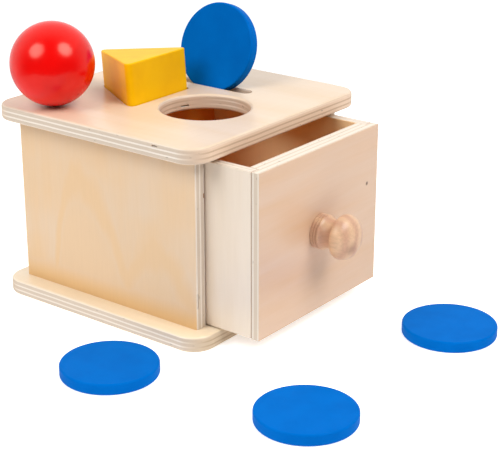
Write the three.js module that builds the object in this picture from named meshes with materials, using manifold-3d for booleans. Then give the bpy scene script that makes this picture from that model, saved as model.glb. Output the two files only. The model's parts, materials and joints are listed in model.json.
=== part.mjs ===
// A wooden coin slot box: a plywood case with a drawer, whose top has a ball hole, a prism hole and a
// coin slot, and the ball, prism and coins that a child posts through them.
// Millimetres, +Z up. The origin is the middle of the base plate's underside. +X is to the right of
// someone facing the drawer, and the drawer pulls out along -Y.

import * as THREE from 'three';
import { mergeVertices } from 'three/addons/utils/BufferGeometryUtils.js';
import Module from 'manifold-3d';

const wasm = await Module();
wasm.setup();

// Case: two plates with two sides and a back between them
const PLATE_WIDTH = 144;
const PLATE_DEPTH = 142;
const PLATE_THICKNESS = 8.5;
const PLATE_CORNER_RADIUS = 12.5;
const PLATE_EDGE_ROUND = 1.6;
const SIDE_OVERHANG = 10.75;
const END_OVERHANG = 9.25;
const CASE_HEIGHT = 92.4;
const PANEL_THICKNESS = 7.5;
const PANEL_ARRIS = 0.8;

// Dowels under the top plate and screws through the base plate
const DOWEL_DIAMETER = 4;
const DOWEL_LENGTH = 16;
const DOWEL_COVER = 3.5;
const DOWEL_CHAMFER = 0.5;
const BASE_SCREW_DIAMETER = 3.5;
const BASE_SCREW_HEAD = 7;
const BASE_SCREW_LENGTH = 25;
const FIXING_INSET = 18;
const BACK_FIXING_INSET = 24;
const SCREW_RECESS = 0.4;
const SCREW_POINT = 3;
const FIT_CLEARANCE = 0.25;
const CUT_PAST = 1;

// Drawer: a rabbeted front, grooved sides, a back in dadoes and a bottom slid in from behind
const DRAWER_PULL = 33.8;
const DRAWER_SIDE_GAP = 0.55;
const DRAWER_TOP_GAP = 2.5;
const DRAWER_BACK_GAP = 1;
const FRONT_FLOOR_GAP = 0.3;
const SIDE_LIFT = 0.5;
const FRONT_THICKNESS = 10.5;
const FRONT_LIP = 4.5;
const DRAWER_PANEL = 6;
const BOTTOM_THICKNESS = 4;
const BOTTOM_LIFT = 3;
const GROOVE_DEPTH = 3;
const DADO_DEPTH = 2;
const BOTTOM_SCREW_DIAMETER = 2.5;
const BOTTOM_SCREW_HEAD = 4.6;
const BOTTOM_SCREW_LENGTH = 16;
const BOTTOM_SCREW_INSET = 16;

// Turned knob and the screw that holds it from inside the drawer
const KNOB_COLLAR_RADIUS = 9.4;
const KNOB_COLLAR_LENGTH = 4.6;
const KNOB_RING_DEPTH = 0.5;
const KNOB_NECK_RADIUS = 7.3;
const KNOB_NECK_LENGTH = 8.5;
const KNOB_NECK_FLARE = 1;
const KNOB_HEAD_RADIUS = 12;
const KNOB_HEAD_THICKNESS = 10.5;
const KNOB_HEAD_EASE = 1.5;
const KNOB_RIM_HEIGHT = 2.6;
const KNOB_DOME_FULLNESS = 0.55;
const KNOB_SCREW_DIAMETER = 4;
const KNOB_SCREW_REACH = 11.5;
const KNOB_SCREW_HEAD = 8;
const KNOB_SCREW_HEAD_HEIGHT = 2.6;
const KNOB_BORE_SPARE = 1;
const KNOB_LEFT_OF_MIDDLE = 0.8;
const KNOB_BELOW_MIDDLE = 0.4;

// Play pieces
const BALL_DIAMETER = 45;
const COIN_DIAMETER = 50;
const COIN_THICKNESS = 6;
const COIN_EDGE_ROUND = 1;
const PRISM_WIDTH = 46.5;
const PRISM_CORNER_RADIUS = 2.9;
const PRISM_HEIGHT = 30.8;
const PRISM_EDGE_ROUND = 0.8;
const REST_GAP = 0.3;

// Openings in the top plate, and the webs of wood left between them
const BALL_HOLE_X = -8;
const BALL_HOLE_FROM_FRONT = 46;
const BALL_HOLE_PLAY = 3.4;
const PRISM_HOLE_PLAY = 0.6;
const PRISM_HOLE_WEB = 5.8;
const SLOT_PLAY = 1.7;
const SLOT_END_PLAY = 2.5;
const SLOT_WEB = 8.6;

// Where the loose pieces lie
const BALL_FROM_LEFT = 17.2;
const BALL_FROM_BACK = 30.4;
const COIN_LEAN = 17.5;
const COIN_BEHIND_MIDDLE = 0.6;
const FLOOR_COIN_LEFT_GAP = 14.4;
const FLOOR_COIN_LEFT_FROM_FRONT = 24;
const FLOOR_COIN_FRONT_OUT = 19.7;
const FLOOR_COIN_FRONT_GAP = 56.6;
const FLOOR_COIN_RIGHT_X = 31.7;
const FLOOR_COIN_RIGHT_GAP = 61.1;

// Facets
const ARC_STEPS = 6;
const ROD_SIDES = 16;
const KNOB_SIDES = 36;
const COIN_SIDES = 44;
const BALL_SIDES = 36;
const BALL_RINGS = 22;

// Places worked out from the sizes above
const plateTop = 2 * PLATE_THICKNESS + CASE_HEIGHT;
const caseTop = PLATE_THICKNESS + CASE_HEIGHT;
const caseHalfWidth = PLATE_WIDTH / 2 - SIDE_OVERHANG;
const caseHalfDepth = PLATE_DEPTH / 2 - END_OVERHANG;
const bayHalfWidth = caseHalfWidth - PANEL_THICKNESS;
const backInner = caseHalfDepth - PANEL_THICKNESS;

const drawerHalfWidth = bayHalfWidth - DRAWER_SIDE_GAP;
const drawerInnerHalf = drawerHalfWidth - DRAWER_PANEL;
const drawerFrontFace = -caseHalfDepth;
const drawerRear = backInner - DRAWER_BACK_GAP;
const frontBottom = PLATE_THICKNESS + FRONT_FLOOR_GAP;
const sideBottom = frontBottom + SIDE_LIFT;
const drawerTop = caseTop - DRAWER_TOP_GAP;
const bottomUnderside = sideBottom + BOTTOM_LIFT;
const bottomTop = bottomUnderside + BOTTOM_THICKNESS;
const knobX = -KNOB_LEFT_OF_MIDDLE;
const knobHeight = (frontBottom + drawerTop) / 2 - KNOB_BELOW_MIDDLE;

const ballHoleRadius = (BALL_DIAMETER + BALL_HOLE_PLAY) / 2;
const ballHoleY = -PLATE_DEPTH / 2 + BALL_HOLE_FROM_FRONT;
const prismHoleRadius = PRISM_CORNER_RADIUS + PRISM_HOLE_PLAY;
const prismCornerSpan = PRISM_WIDTH - 2 * PRISM_CORNER_RADIUS;
const prismX = BALL_HOLE_X;
const prismFlat = prismCornerSpan / (2 * Math.sqrt(3)) + prismHoleRadius;
const prismY = ballHoleY + ballHoleRadius + PRISM_HOLE_WEB + prismFlat;
const slotWidth = COIN_THICKNESS + SLOT_PLAY;
const slotLength = COIN_DIAMETER + 2 * SLOT_END_PLAY;
const slotX = BALL_HOLE_X + ballHoleRadius + SLOT_WEB + slotWidth / 2;
const coinRadius = COIN_DIAMETER / 2;

const birchPlywood = new THREE.MeshStandardMaterial({ color: 0xf0dcc0, roughness: 0.6, metalness: 0 });
const beech = new THREE.MeshStandardMaterial({ color: 0xd9a981, roughness: 0.5, metalness: 0 });
const redPaint = new THREE.MeshStandardMaterial({ color: 0xee1410, roughness: 0.3, metalness: 0 });
const yellowPaint = new THREE.MeshStandardMaterial({ color: 0xf5b90a, roughness: 0.4, metalness: 0 });
const bluePaint = new THREE.MeshStandardMaterial({ color: 0x0a6fd0, roughness: 0.35, metalness: 0 });
const zincSteel = new THREE.MeshStandardMaterial({ color: 0xb9bdc1, roughness: 0.35, metalness: 0.9 });

// Boolean cuts

function toSolid(geometry) {
  const bare = geometry.clone();
  bare.deleteAttribute('normal');
  bare.deleteAttribute('uv');
  const welded = mergeVertices(bare);
  const corners = welded.index.array;
  const kept = [];
  for (let i = 0; i < corners.length; i += 3) {
    const [a, b, c] = corners.slice(i, i + 3);
    if (a !== b && b !== c && c !== a) {
      kept.push(a, b, c);
    }
  }
  return new wasm.Manifold(new wasm.Mesh({
    numProp: 3,
    vertProperties: new Float32Array(welded.attributes.position.array),
    triVerts: new Uint32Array(kept),
  }));
}

function toGeometry(solid) {
  const mesh = solid.getMesh();
  const geometry = new THREE.BufferGeometry();
  geometry.setAttribute('position', new THREE.BufferAttribute(mesh.vertProperties, 3));
  geometry.setIndex(new THREE.BufferAttribute(mesh.triVerts, 1));
  geometry.computeVertexNormals();
  return geometry;
}

function cut(geometry, tools) {
  let solid = toSolid(geometry);
  for (const tool of tools) {
    solid = solid.subtract(toSolid(tool));
  }
  return toGeometry(solid);
}

// Basic forms

function block(xMin, xMax, yMin, yMax, zMin, zMax) {
  const geometry = new THREE.BoxGeometry(xMax - xMin, yMax - yMin, zMax - zMin);
  return geometry.translate((xMin + xMax) / 2, (yMin + yMax) / 2, (zMin + zMax) / 2);
}

function prismOf(shape, height) {
  return new THREE.ExtrudeGeometry(shape, { depth: height, bevelEnabled: false, curveSegments: ARC_STEPS });
}

function roundedPrismOf(shape, height, round) {
  const geometry = new THREE.ExtrudeGeometry(shape, {
    depth: height - 2 * round,
    bevelThickness: round,
    bevelSize: round,
    bevelOffset: -round,
    bevelSegments: 3,
    curveSegments: ARC_STEPS,
  });
  return geometry.translate(0, 0, round);
}

// A turned form about Z from pairs of radius and height, starting and ending on the axis.
function turned(profile, sides) {
  const points = profile.map(([radius, height]) => new THREE.Vector2(radius, height));
  return new THREE.LatheGeometry(points, sides).rotateX(Math.PI / 2);
}

function rod(radius, zMin, zMax) {
  return turned([[0, zMin], [radius, zMin], [radius, zMax], [0, zMax]], ROD_SIDES);
}

function circlePath(x, y, radius) {
  const path = new THREE.Path();
  for (let quarter = 0; quarter < 4; quarter += 1) {
    path.absarc(x, y, radius, quarter * Math.PI / 2, (quarter + 1) * Math.PI / 2);
  }
  return path;
}

function roundedRectangle(width, depth, radius) {
  const x = width / 2 - radius;
  const y = depth / 2 - radius;
  const shape = new THREE.Shape();
  shape.absarc(x, y, radius, 0, Math.PI / 2);
  shape.absarc(-x, y, radius, Math.PI / 2, Math.PI);
  shape.absarc(-x, -y, radius, Math.PI, 1.5 * Math.PI);
  shape.absarc(x, -y, radius, 1.5 * Math.PI, 2 * Math.PI);
  return shape;
}

// An equilateral triangle with one flat side to the front, given by the span between the centres of
// its round corners.
function roundedTriangle(cornerSpan, radius) {
  const reach = cornerSpan / Math.sqrt(3);
  const shape = new THREE.Shape();
  for (const turn of [90, 210, 330]) {
    const angle = THREE.MathUtils.degToRad(turn);
    const swing = Math.PI / 3;
    shape.absarc(reach * Math.cos(angle), reach * Math.sin(angle), radius, angle - swing, angle + swing);
  }
  return shape;
}

function place(name, geometry, material, x = 0, y = 0, z = 0) {
  const mesh = new THREE.Mesh(geometry, material);
  mesh.name = name;
  mesh.position.set(x, y, z);
  return mesh;
}

// Fixings

function countersunkScrew(length, diameter, head) {
  const shank = diameter / 2;
  const rim = head / 2;
  const profile = [
    [0, SCREW_RECESS],
    [rim, SCREW_RECESS],
    [shank, SCREW_RECESS + rim - shank],
    [shank, length - SCREW_POINT],
    [0, length],
  ];
  return turned(profile, ROD_SIDES);
}

// The hole for such a screw, open at the face that its head sinks into.
function countersunkHole(length, diameter, head) {
  const shank = diameter / 2 + FIT_CLEARANCE;
  const rim = head / 2 + FIT_CLEARANCE;
  const profile = [
    [0, -CUT_PAST],
    [rim, -CUT_PAST],
    [rim, SCREW_RECESS + FIT_CLEARANCE],
    [shank, SCREW_RECESS + FIT_CLEARANCE + rim - shank],
    [shank, length + FIT_CLEARANCE],
    [0, length + FIT_CLEARANCE],
  ];
  return turned(profile, ROD_SIDES);
}

function dowel() {
  const radius = DOWEL_DIAMETER / 2;
  const profile = [
    [0, 0],
    [radius - DOWEL_CHAMFER, 0],
    [radius, DOWEL_CHAMFER],
    [radius, DOWEL_LENGTH - DOWEL_CHAMFER],
    [radius - DOWEL_CHAMFER, DOWEL_LENGTH],
    [0, DOWEL_LENGTH],
  ];
  return turned(profile, ROD_SIDES);
}

const dowelBottom = plateTop - DOWEL_COVER - DOWEL_LENGTH;

function dowelHole() {
  const bottom = dowelBottom - FIT_CLEARANCE;
  return rod(DOWEL_DIAMETER / 2 + FIT_CLEARANCE, bottom, bottom + DOWEL_LENGTH + 2 * FIT_CLEARANCE);
}

function baseScrewHole() {
  return countersunkHole(BASE_SCREW_LENGTH, BASE_SCREW_DIAMETER, BASE_SCREW_HEAD);
}

// The six places where a panel is fixed, at the middle of the panel's thickness.
const panelMiddle = caseHalfWidth - PANEL_THICKNESS / 2;
const backMiddle = caseHalfDepth - PANEL_THICKNESS / 2;
const fixingY = caseHalfDepth - FIXING_INSET;
const backFixingX = bayHalfWidth - BACK_FIXING_INSET;
const fixings = [
  { name: 'left_front', x: -panelMiddle, y: -fixingY },
  { name: 'left_rear', x: -panelMiddle, y: fixingY },
  { name: 'right_front', x: panelMiddle, y: -fixingY },
  { name: 'right_rear', x: panelMiddle, y: fixingY },
  { name: 'back_left', x: -backFixingX, y: backMiddle },
  { name: 'back_right', x: backFixingX, y: backMiddle },
];

function fixingCuts(form) {
  return fixings.map(({ x, y }) => form().translate(x, y, 0));
}

// Case

function plateShape() {
  return roundedRectangle(PLATE_WIDTH, PLATE_DEPTH, PLATE_CORNER_RADIUS);
}

function basePanel() {
  const plate = roundedPrismOf(plateShape(), PLATE_THICKNESS, PLATE_EDGE_ROUND);
  return cut(plate, fixingCuts(baseScrewHole));
}

// The ball hole is routed with the same round-over as the plate's edge. The slot and the prism hole
// are cut square.
function topPanel() {
  const shape = plateShape();
  shape.holes.push(circlePath(BALL_HOLE_X, ballHoleY, ballHoleRadius));
  const plate = roundedPrismOf(shape, PLATE_THICKNESS, PLATE_EDGE_ROUND).translate(0, 0, caseTop);
  const through = PLATE_THICKNESS + 2 * CUT_PAST;
  const slot = prismOf(roundedRectangle(slotWidth, slotLength, slotWidth / 2), through);
  const prismHole = prismOf(roundedTriangle(prismCornerSpan, prismHoleRadius), through);
  slot.translate(slotX, 0, caseTop - CUT_PAST);
  prismHole.translate(prismX, prismY, caseTop - CUT_PAST);
  return cut(plate, [slot, prismHole, ...fixingCuts(dowelHole)]);
}

// A side panel: its free upright edges are eased, and its inner rear edge stays square to the back.
function sidePanel(side) {
  const outer = side * caseHalfWidth;
  const inner = side * bayHalfWidth;
  const ease = side * PANEL_ARRIS;
  const shape = new THREE.Shape();
  shape.moveTo(inner, caseHalfDepth);
  shape.lineTo(inner, -caseHalfDepth + PANEL_ARRIS);
  shape.quadraticCurveTo(inner, -caseHalfDepth, inner + ease, -caseHalfDepth);
  shape.lineTo(outer - ease, -caseHalfDepth);
  shape.quadraticCurveTo(outer, -caseHalfDepth, outer, -caseHalfDepth + PANEL_ARRIS);
  shape.lineTo(outer, caseHalfDepth - PANEL_ARRIS);
  shape.quadraticCurveTo(outer, caseHalfDepth, outer - ease, caseHalfDepth);
  const panel = prismOf(shape, CASE_HEIGHT).translate(0, 0, PLATE_THICKNESS);
  return cut(panel, [...fixingCuts(dowelHole), ...fixingCuts(baseScrewHole)]);
}

function backPanel() {
  const panel = block(-bayHalfWidth, bayHalfWidth, backInner, caseHalfDepth, PLATE_THICKNESS, caseTop);
  return cut(panel, [...fixingCuts(dowelHole), ...fixingCuts(baseScrewHole)]);
}

function buildCase() {
  const group = new THREE.Group();
  group.add(place('base_panel', basePanel(), birchPlywood));
  group.add(place('left_side_panel', sidePanel(-1), birchPlywood));
  group.add(place('right_side_panel', sidePanel(1), birchPlywood));
  group.add(place('back_panel', backPanel(), birchPlywood));
  group.add(place('top_panel', topPanel(), birchPlywood));
  for (const { name, x, y } of fixings) {
    const screw = countersunkScrew(BASE_SCREW_LENGTH, BASE_SCREW_DIAMETER, BASE_SCREW_HEAD);
    group.add(place(`top_dowel_${name}`, dowel(), beech, x, y, dowelBottom));
    group.add(place(`base_screw_${name}`, screw, zincSteel, x, y, 0));
  }
  return group;
}

// Drawer, modelled shut

const frontInner = drawerFrontFace + FRONT_THICKNESS;
const sideFrontEnd = drawerFrontFace + FRONT_LIP;
const grooveFloor = drawerInnerHalf + GROOVE_DEPTH;
const drawerBackInner = drawerRear - DRAWER_PANEL;
const bottomScrewX = drawerInnerHalf - BOTTOM_SCREW_INSET;
const bottomScrewY = drawerRear - DRAWER_PANEL / 2;

function knobScrewHole() {
  const radius = KNOB_SCREW_DIAMETER / 2 + FIT_CLEARANCE;
  const hole = rod(radius, -CUT_PAST, FRONT_THICKNESS + CUT_PAST);
  return hole.rotateX(-Math.PI / 2).translate(knobX, drawerFrontFace, knobHeight);
}

// The front is one board whose ends are rabbeted to take the sides behind a lip.
function drawerFront() {
  const shape = new THREE.Shape();
  shape.moveTo(-drawerHalfWidth, sideFrontEnd);
  shape.lineTo(-drawerHalfWidth, drawerFrontFace + PANEL_ARRIS);
  shape.quadraticCurveTo(
    -drawerHalfWidth, drawerFrontFace, -drawerHalfWidth + PANEL_ARRIS, drawerFrontFace,
  );
  shape.lineTo(drawerHalfWidth - PANEL_ARRIS, drawerFrontFace);
  shape.quadraticCurveTo(
    drawerHalfWidth, drawerFrontFace, drawerHalfWidth, drawerFrontFace + PANEL_ARRIS,
  );
  shape.lineTo(drawerHalfWidth, sideFrontEnd);
  shape.lineTo(drawerInnerHalf, sideFrontEnd);
  shape.lineTo(drawerInnerHalf, frontInner);
  shape.lineTo(-drawerInnerHalf, frontInner);
  shape.lineTo(-drawerInnerHalf, sideFrontEnd);
  const board = prismOf(shape, drawerTop - frontBottom).translate(0, 0, frontBottom);
  const groove = block(
    -drawerInnerHalf - CUT_PAST, drawerInnerHalf + CUT_PAST,
    frontInner - GROOVE_DEPTH, frontInner + CUT_PAST,
    bottomUnderside, bottomTop,
  );
  return cut(board, [groove, knobScrewHole()]);
}

// A side is a board with a groove along its inner face for the bottom and an upright dado for the back.
function drawerSide(side) {
  const inner = side * drawerInnerHalf;
  const outer = side * drawerHalfWidth;
  const board = block(
    Math.min(inner, outer), Math.max(inner, outer), sideFrontEnd, drawerRear, sideBottom, drawerTop,
  );
  const grooveX = side * grooveFloor;
  const dadoX = side * (drawerInnerHalf + DADO_DEPTH);
  const mouth = side * (drawerInnerHalf - CUT_PAST);
  const groove = block(
    Math.min(mouth, grooveX), Math.max(mouth, grooveX), sideFrontEnd - CUT_PAST, drawerRear + CUT_PAST,
    bottomUnderside, bottomTop,
  );
  const dado = block(
    Math.min(mouth, dadoX), Math.max(mouth, dadoX), drawerBackInner, drawerRear + CUT_PAST,
    bottomTop - CUT_PAST, drawerTop + CUT_PAST,
  );
  return cut(board, [groove, dado]);
}

function bottomScrewPlaces() {
  return [
    { name: 'left', x: -bottomScrewX },
    { name: 'right', x: bottomScrewX },
  ];
}

function bottomScrewHoles() {
  return bottomScrewPlaces().map(({ x }) => {
    const hole = countersunkHole(BOTTOM_SCREW_LENGTH, BOTTOM_SCREW_DIAMETER, BOTTOM_SCREW_HEAD);
    return hole.translate(x, bottomScrewY, bottomUnderside);
  });
}

function drawerBack() {
  const reach = drawerInnerHalf + DADO_DEPTH - FIT_CLEARANCE;
  const board = block(-reach, reach, drawerBackInner, drawerRear, bottomTop, drawerTop);
  return cut(board, bottomScrewHoles());
}

function drawerBottom() {
  const reach = grooveFloor - FIT_CLEARANCE;
  const front = frontInner - GROOVE_DEPTH + FIT_CLEARANCE;
  const board = block(-reach, reach, front, drawerRear, bottomUnderside, bottomTop);
  return cut(board, bottomScrewHoles());
}

// The knob is turned in one piece: a collar with two ring grooves, a hollow neck and a domed head.
function drawerKnob() {
  const bore = KNOB_SCREW_DIAMETER / 2 + FIT_CLEARANCE;
  const boreDepth = KNOB_SCREW_REACH + KNOB_BORE_SPARE;
  const headBack = KNOB_COLLAR_LENGTH + KNOB_NECK_LENGTH;
  const rim = headBack + KNOB_RIM_HEIGHT;
  const tip = headBack + KNOB_HEAD_THICKNESS;
  const ring = KNOB_COLLAR_LENGTH / 6;
  const groove = KNOB_COLLAR_RADIUS - KNOB_RING_DEPTH;
  const profile = [
    [0, boreDepth],
    [bore, boreDepth],
    [bore, 0],
    [KNOB_COLLAR_RADIUS, 0],
    [KNOB_COLLAR_RADIUS, 2 * ring],
    [groove, 2.5 * ring],
    [KNOB_COLLAR_RADIUS, 3 * ring],
    [KNOB_COLLAR_RADIUS, 4 * ring],
    [groove, 4.5 * ring],
    [KNOB_COLLAR_RADIUS, 5 * ring],
  ];
  const neck = new THREE.CubicBezierCurve(
    new THREE.Vector2(KNOB_COLLAR_RADIUS, KNOB_COLLAR_LENGTH),
    new THREE.Vector2(KNOB_NECK_RADIUS, KNOB_COLLAR_LENGTH + KNOB_NECK_FLARE),
    new THREE.Vector2(KNOB_NECK_RADIUS - KNOB_NECK_FLARE, headBack),
    new THREE.Vector2(KNOB_HEAD_RADIUS - KNOB_HEAD_EASE, headBack),
  );
  const dome = new THREE.CubicBezierCurve(
    new THREE.Vector2(KNOB_HEAD_RADIUS, rim),
    new THREE.Vector2(KNOB_HEAD_RADIUS, rim + KNOB_DOME_FULLNESS * (tip - rim)),
    new THREE.Vector2(KNOB_DOME_FULLNESS * KNOB_HEAD_RADIUS, tip),
    new THREE.Vector2(0, tip),
  );
  const curves = [...neck.getPoints(2 * ARC_STEPS), ...dome.getPoints(2 * ARC_STEPS)];
  for (const point of curves) {
    profile.push([Math.max(point.x, 0), point.y]);
  }
  return turned(profile, KNOB_SIDES);
}

// A pan head screw, head first along Z, whose head seats on the drawer front's inner face.
function knobScrew() {
  const shank = KNOB_SCREW_DIAMETER / 2;
  const head = KNOB_SCREW_HEAD / 2;
  const length = FRONT_THICKNESS + KNOB_SCREW_REACH;
  const profile = [
    [0, -KNOB_SCREW_HEAD_HEIGHT],
    [0.7 * head, -KNOB_SCREW_HEAD_HEIGHT],
    [0.95 * head, -0.6 * KNOB_SCREW_HEAD_HEIGHT],
    [head, 0],
    [shank, 0],
    [shank, length - SCREW_POINT],
    [0, length],
  ];
  return turned(profile, ROD_SIDES);
}

function buildDrawer() {
  const group = new THREE.Group();
  group.position.y = -DRAWER_PULL;
  group.add(place('drawer_front', drawerFront(), birchPlywood));
  group.add(place('drawer_left_side', drawerSide(-1), birchPlywood));
  group.add(place('drawer_right_side', drawerSide(1), birchPlywood));
  group.add(place('drawer_back', drawerBack(), birchPlywood));
  group.add(place('drawer_bottom', drawerBottom(), birchPlywood));
  for (const { name, x } of bottomScrewPlaces()) {
    const screw = countersunkScrew(BOTTOM_SCREW_LENGTH, BOTTOM_SCREW_DIAMETER, BOTTOM_SCREW_HEAD);
    group.add(place(`drawer_bottom_screw_${name}`, screw, zincSteel, x, bottomScrewY, bottomUnderside));
  }
  const knob = place('drawer_knob', drawerKnob(), beech, knobX, drawerFrontFace, knobHeight);
  knob.rotation.x = Math.PI / 2;
  const screw = place('knob_screw', knobScrew(), zincSteel, knobX, frontInner, knobHeight);
  screw.rotation.x = Math.PI / 2;
  group.add(knob, screw);
  return group;
}

// Play pieces

function coin() {
  const half = COIN_THICKNESS / 2;
  const edge = half - COIN_EDGE_ROUND;
  const flat = coinRadius - COIN_EDGE_ROUND;
  const profile = [[0, -half]];
  for (const [turn, height] of [[-90, -edge], [-45, -edge], [0, -edge], [0, edge], [45, edge], [90, edge]]) {
    const angle = THREE.MathUtils.degToRad(turn);
    profile.push([flat + COIN_EDGE_ROUND * Math.cos(angle), height + COIN_EDGE_ROUND * Math.sin(angle)]);
  }
  profile.push([0, half]);
  return turned(profile, COIN_SIDES);
}

// The coin in the slot leans until it meets the near wall below and the far edge above, and how deep it
// has sunk follows from that.
function coinInSlot() {
  const lean = THREE.MathUtils.degToRad(COIN_LEAN);
  const half = COIN_THICKNESS / 2;
  const used = slotWidth - 2 * FIT_CLEARANCE;
  const sunk = (used - COIN_THICKNESS * Math.cos(lean)) / Math.tan(lean);
  const x = slotX - used / 2 + half * Math.cos(lean) + coinRadius * Math.sin(lean);
  const z = plateTop + coinRadius * Math.cos(lean) + half * Math.sin(lean) - sunk;
  const mesh = place('coin_in_slot', coin(), bluePaint, x, COIN_BEHIND_MIDDLE, z);
  mesh.rotation.y = Math.PI / 2 + lean;
  return mesh;
}

// The prism tips back in its hole until it meets the walls, which holds it clear of the drawer.
function prismInHole() {
  const triangle = roundedTriangle(prismCornerSpan, PRISM_CORNER_RADIUS);
  const prism = roundedPrismOf(triangle, PRISM_HEIGHT, PRISM_EDGE_ROUND);
  const tilt = Math.atan2(2 * (PRISM_HOLE_PLAY - REST_GAP), PLATE_THICKNESS);
  const reach = prismCornerSpan / Math.sqrt(3) + PRISM_CORNER_RADIUS;
  const z = drawerTop + REST_GAP + reach * Math.sin(tilt);
  const middle = caseTop + PLATE_THICKNESS / 2;
  const mesh = place('play_prism', prism, yellowPaint, prismX, prismY - (middle - z) * Math.tan(tilt), z);
  mesh.rotation.x = -tilt;
  return mesh;
}

function buildPlayPieces() {
  const group = new THREE.Group();
  const ballRadius = BALL_DIAMETER / 2;
  const sphere = new THREE.SphereGeometry(ballRadius, BALL_SIDES, BALL_RINGS);
  const ball = place('play_ball', sphere, redPaint);
  ball.position.x = -PLATE_WIDTH / 2 + BALL_FROM_LEFT;
  ball.position.y = PLATE_DEPTH / 2 - BALL_FROM_BACK;
  ball.position.z = plateTop + REST_GAP + ballRadius;
  group.add(ball, prismInHole(), coinInSlot());

  const left = -PLATE_WIDTH / 2;
  const front = -PLATE_DEPTH / 2;
  const floorCoins = [
    {
      name: 'coin_on_floor_left',
      x: left - FLOOR_COIN_LEFT_GAP - coinRadius,
      y: front + FLOOR_COIN_LEFT_FROM_FRONT,
    },
    {
      name: 'coin_on_floor_front',
      x: left - FLOOR_COIN_FRONT_OUT,
      y: front - FLOOR_COIN_FRONT_GAP - coinRadius,
    },
    {
      name: 'coin_on_floor_right',
      x: FLOOR_COIN_RIGHT_X,
      y: front - FLOOR_COIN_RIGHT_GAP - coinRadius,
    },
  ];
  for (const { name, x, y } of floorCoins) {
    group.add(place(name, coin(), bluePaint, x, y, COIN_THICKNESS / 2));
  }
  return group;
}

const coinSlotBox = new THREE.Group();
coinSlotBox.add(buildCase(), buildDrawer(), buildPlayPieces());

export default coinSlotBox;
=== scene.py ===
import json
import math

import bmesh
import bpy
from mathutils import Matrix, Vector


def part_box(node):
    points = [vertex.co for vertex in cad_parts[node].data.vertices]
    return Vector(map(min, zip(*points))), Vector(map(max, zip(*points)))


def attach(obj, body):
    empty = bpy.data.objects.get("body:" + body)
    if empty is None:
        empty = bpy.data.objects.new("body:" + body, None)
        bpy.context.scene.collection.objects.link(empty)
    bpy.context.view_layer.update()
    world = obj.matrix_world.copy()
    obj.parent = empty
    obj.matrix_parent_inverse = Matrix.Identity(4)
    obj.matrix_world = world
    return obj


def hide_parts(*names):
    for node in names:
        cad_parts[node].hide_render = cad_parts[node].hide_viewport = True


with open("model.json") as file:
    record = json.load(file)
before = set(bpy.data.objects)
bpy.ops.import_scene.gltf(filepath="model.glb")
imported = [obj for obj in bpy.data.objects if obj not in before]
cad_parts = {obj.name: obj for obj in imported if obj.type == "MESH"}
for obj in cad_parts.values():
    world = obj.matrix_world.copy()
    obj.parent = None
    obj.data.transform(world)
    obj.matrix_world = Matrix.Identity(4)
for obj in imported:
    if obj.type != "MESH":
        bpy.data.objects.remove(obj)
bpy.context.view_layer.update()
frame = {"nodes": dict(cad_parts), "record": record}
MM = 0.001

# Camera: a long lens off the left front corner of the box, a little above it, so that the left side,
# the open drawer and the top all show.
camera_place = Vector((-568.65, -487.20, 319.19)) * MM
camera_target = Vector((-1.6, -50.25, 46.27)) * MM
sensor_width_mm = 36
lens_mm = 101.9
camera_turn = (camera_target - camera_place).to_track_quat("-Z", "Y").to_euler()
bpy.ops.object.camera_add(location=camera_place, rotation=camera_turn)
camera = bpy.context.object
camera.data.sensor_fit = "HORIZONTAL"
camera.data.sensor_width = sensor_width_mm
camera.data.lens = lens_mm
camera.data.clip_start = 10 * MM
bpy.context.scene.camera = camera

# Studio: a sheet of white paper to stand on, one softbox to the left, one in front, and a bright
# backdrop that fades to a dim room on the camera's side, which the gloss paint shows.
bpy.context.scene.view_settings.view_transform = "Standard"


def linear(colour):
    """An sRGB hex colour as the linear RGBA that shader sockets take."""
    channels = [int(colour[i:i + 2], 16) / 255 for i in (0, 2, 4)]
    return [c / 12.92 if c <= 0.04045 else ((c + 0.055) / 1.055) ** 2.4 for c in channels] + [1.0]


def add_node(tree, kind, inputs, out=0, **settings):
    """Adds a shader node and returns one output; each input is a value or the socket that feeds it. A Mix
    takes its share in input 0, numbers in 2 and 3, vectors in 4 and 5, and colours in 6 and 7."""
    node = tree.nodes.new("ShaderNode" + kind)
    for name, value in settings.items():
        setattr(node, name, value)
    for key, value in inputs.items() if isinstance(inputs, dict) else enumerate(inputs):
        if isinstance(value, bpy.types.NodeSocket):
            tree.links.new(value, node.inputs[key])
        else:
            node.inputs[key].default_value = value
    return node.outputs[out] if node.outputs else None


def new_material(name):
    """A new material, its node tree and its shader."""
    material = bpy.data.materials.new(name)
    material.use_nodes = True
    return material, material.node_tree, material.node_tree.nodes["Principled BSDF"]


lit_middle = Vector((-30, 0, 90)) * MM
softbox_distance = 1.1


def softbox(name, towards, diameter, watts):
    """A round area light, its diameter in metres, that stands that way from the box and faces it."""
    direction = Vector(towards).normalized()
    turn = direction.to_track_quat("Z", "Y").to_euler()
    place = lit_middle + direction * softbox_distance
    bpy.ops.object.light_add(type="AREA", location=place, rotation=turn)
    light = bpy.context.object
    light.name = name
    light.data.shape = "DISK"
    light.data.size = diameter
    light.data.energy = watts


softbox("softbox_left", (-0.72, 0.17, 0.68), diameter=0.66, watts=7.2)
softbox("softbox_front", (0.05, -0.65, 0.72), diameter=0.66, watts=8.6)

paper_reach = 0.42
camera_azimuth = math.atan2(camera_place.y, camera_place.x)
bpy.ops.mesh.primitive_plane_add(size=2 * paper_reach, rotation=(0, 0, camera_azimuth))
floor = bpy.context.object
floor.name = "studio_floor"
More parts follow.
